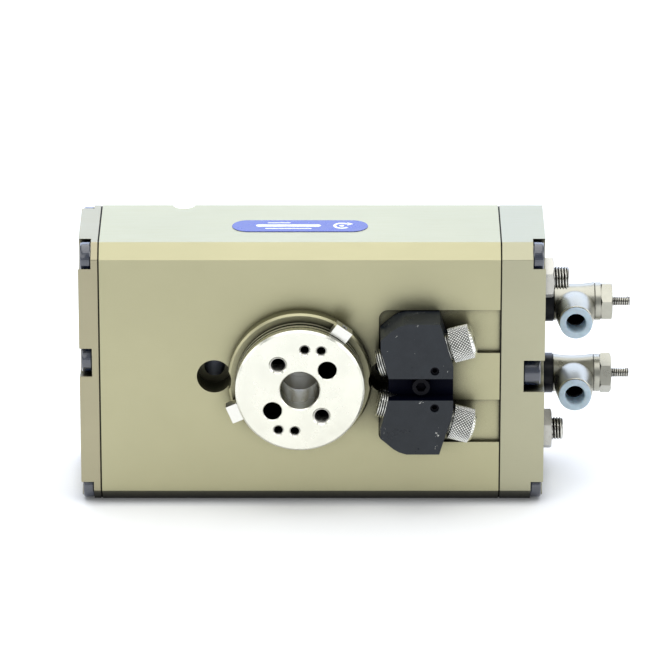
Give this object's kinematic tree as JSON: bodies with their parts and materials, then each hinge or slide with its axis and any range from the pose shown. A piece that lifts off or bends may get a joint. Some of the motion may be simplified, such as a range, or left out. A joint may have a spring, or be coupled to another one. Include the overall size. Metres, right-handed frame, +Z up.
{
  "type": "rotary pneumatic actuator",
  "caption": "Rotary pneumatic actuator: rack pistons in an olive block turn a hollow output flange, with cam sensing, end stops and elbow fittings.",
  "frame": {"origin": "centre of the output flange's outer face, on the axis of rotation", "axes": "+X to the ported end cap, +Y into the housing away from the flange's face, +Z up as it stands on its long side"},
  "size_m": [0.239, 0.075, 0.1193],
  "materials": {
    "olive_anodised": "satin olive anodised aluminium",
    "left_cap_anodised": "satin warm olive anodised aluminium",
    "right_cap_anodised": "satin grey olive anodised aluminium with fine scratches",
    "gasket": "matte dark gasket sheet",
    "black_screw": "black oxide steel",
    "rubber": "matte black rubber",
    "bearing_steel": "ground bearing steel",
    "label_film": null,
    "flange_nickel": "satin nickel plate with turning marks",
    "shaft_steel": "machined steel",
    "guide_band": "filled bearing plastic",
    "black_anodised": "black anodised aluminium with a sawn face",
    "plug_nickel": "nickel plated brass with a diamond knurl",
    "zinc_steel": "zinc plated steel thread",
    "black_plastic": "black moulded plastic",
    "fitting_nickel": "polished nickel plated brass",
    "brass": "plain brass",
    "ring_plastic": "pale blue moulded plastic"
  },
  "bodies": {
    "housing": {"housing_block": "olive_anodised", "left_end_cap": "left_cap_anodised", "right_end_cap": "right_cap_anodised", "left_gasket": "gasket", "right_gasket": "gasket", "left_cap_screws": "black_screw", "right_cap_screws": "black_screw", "end_bumpers": "rubber", "front_bearing_cover": "olive_anodised", "front_shaft_seal": "rubber", "front_bearing_outer_race": "bearing_steel", "front_bearing_balls": "bearing_steel", "rear_bearing_outer_race": "bearing_steel", "rear_bearing_balls": "bearing_steel", "rear_shaft_seal": "rubber", "rear_cover": "olive_anodised", "rear_cover_screws": "black_screw", "label_plate": "label_film", "sensor_bracket": "black_anodised", "bracket_screw": "black_screw", "bracket_clamp_screws": "black_screw", "stop_lock_nuts": "zinc_steel", "upper_port_collar": "black_plastic", "upper_banjo_bolt": "fitting_nickel", "upper_needle_lock_nut": "fitting_nickel", "lower_port_collar": "black_plastic", "lower_banjo_bolt": "fitting_nickel", "lower_needle_lock_nut": "fitting_nickel"},
    "output": {"front_bearing_inner_race": "bearing_steel", "rear_bearing_inner_race": "bearing_steel", "output_flange": "flange_nickel", "pinion_shaft": "shaft_steel", "centre_sleeve": "shaft_steel", "cam_spacer_ring": "rubber", "cam_retaining_ring": "bearing_steel"},
    "cam_a": {"cam_ring_a": "flange_nickel", "cam_screw_a": "black_screw"},
    "cam_b": {"cam_ring_b": "flange_nickel", "cam_screw_b": "black_screw"},
    "upper_rack": {"upper_rack_piston": "shaft_steel", "upper_piston_seals": "rubber", "upper_guide_bands": "guide_band"},
    "lower_rack": {"lower_rack_piston": "shaft_steel", "lower_piston_seals": "rubber", "lower_guide_bands": "guide_band"},
    "upper_plug": {"upper_sensor_plug": "plug_nickel"},
    "lower_plug": {"lower_sensor_plug": "plug_nickel"},
    "upper_stop": {"upper_stop_screw": "zinc_steel"},
    "lower_stop": {"lower_stop_screw": "zinc_steel"},
    "upper_swivel": {"upper_swivel_body": "fitting_nickel", "upper_grip_ring": "brass", "upper_tube_seal": "rubber"},
    "upper_ring": {"upper_release_ring": "ring_plastic"},
    "upper_needle": {"upper_needle_stem": "fitting_nickel"},
    "lower_swivel": {"lower_swivel_body": "fitting_nickel", "lower_grip_ring": "brass", "lower_tube_seal": "rubber"},
    "lower_ring": {"lower_release_ring": "ring_plastic"},
    "lower_needle": {"lower_needle_stem": "fitting_nickel"}
  },
  "joints": [
    {"name": "output_turn", "type": "hinge", "parent": "housing", "child": "output", "pos_m": [0, 0, 0], "axis": [0, -1, 0], "range_deg": [-38.5, 141.5]},
    {"name": "upper_rack_slide", "type": "slide", "parent": "housing", "child": "upper_rack", "axis": [1, 0, 0], "range_m": [-0.0446, 0.0122]},
    {"name": "lower_rack_slide", "type": "slide", "parent": "housing", "child": "lower_rack", "axis": [1, 0, 0], "range_m": [-0.0122, 0.0446]},
    {"name": "cam_a_turn", "type": "hinge", "parent": "output", "child": "cam_a", "pos_m": [0, 0, 0], "axis": [0, -1, 0], "range_deg": [-60, 60]},
    {"name": "cam_b_turn", "type": "hinge", "parent": "output", "child": "cam_b", "pos_m": [0, 0, 0], "axis": [0, -1, 0], "range_deg": [-60, 60]},
    {"name": "upper_plug_adjust", "type": "slide", "parent": "housing", "child": "upper_plug", "axis": [0.9659, 0, 0.2588], "range_m": [-0.0008, 0.006]},
    {"name": "upper_stop_adjust", "type": "slide", "parent": "housing", "child": "upper_stop", "axis": [1, 0, 0], "range_m": [0, 0.005]},
    {"name": "upper_swivel_turn", "type": "hinge", "parent": "housing", "child": "upper_swivel", "pos_m": [0.1195, 0.0635, 0.0168], "axis": [1, 0, 0], "range_deg": [-10, 12]},
    {"name": "upper_ring_press", "type": "slide", "parent": "upper_swivel", "child": "upper_ring", "axis": [0, 1, 0], "range_m": [0, 0.0008], "stiffness_N_per_m": 800, "springref_m": -0.0004},
    {"name": "upper_needle_turn", "type": "hinge", "parent": "housing", "child": "upper_needle", "pos_m": [0.1195, 0.0635, 0.0168], "axis": [1, 0, 0], "range_deg": [-180, 180]},
    {"name": "lower_plug_adjust", "type": "slide", "parent": "housing", "child": "lower_plug", "axis": [0.9659, 0, -0.2588], "range_m": [-0.0008, 0.006]},
    {"name": "lower_stop_adjust", "type": "slide", "parent": "housing", "child": "lower_stop", "axis": [1, 0, 0], "range_m": [0, 0.005]},
    {"name": "lower_swivel_turn", "type": "hinge", "parent": "housing", "child": "lower_swivel", "pos_m": [0.1195, 0.0635, -0.0168], "axis": [1, 0, 0], "range_deg": [-12, 10]},
    {"name": "lower_ring_press", "type": "slide", "parent": "lower_swivel", "child": "lower_ring", "axis": [0, 1, 0], "range_m": [0, 0.0008], "stiffness_N_per_m": 800, "springref_m": -0.0004},
    {"name": "lower_needle_turn", "type": "hinge", "parent": "housing", "child": "lower_needle", "pos_m": [0.1195, 0.0635, -0.0168], "axis": [1, 0, 0], "range_deg": [-180, 180]}
  ],
  "couplings": [
    {"joint": "upper_rack_slide", "follows": "output_turn", "m_per_rad": -0.018},
    {"joint": "lower_rack_slide", "follows": "output_turn", "m_per_rad": 0.018}
  ]
}
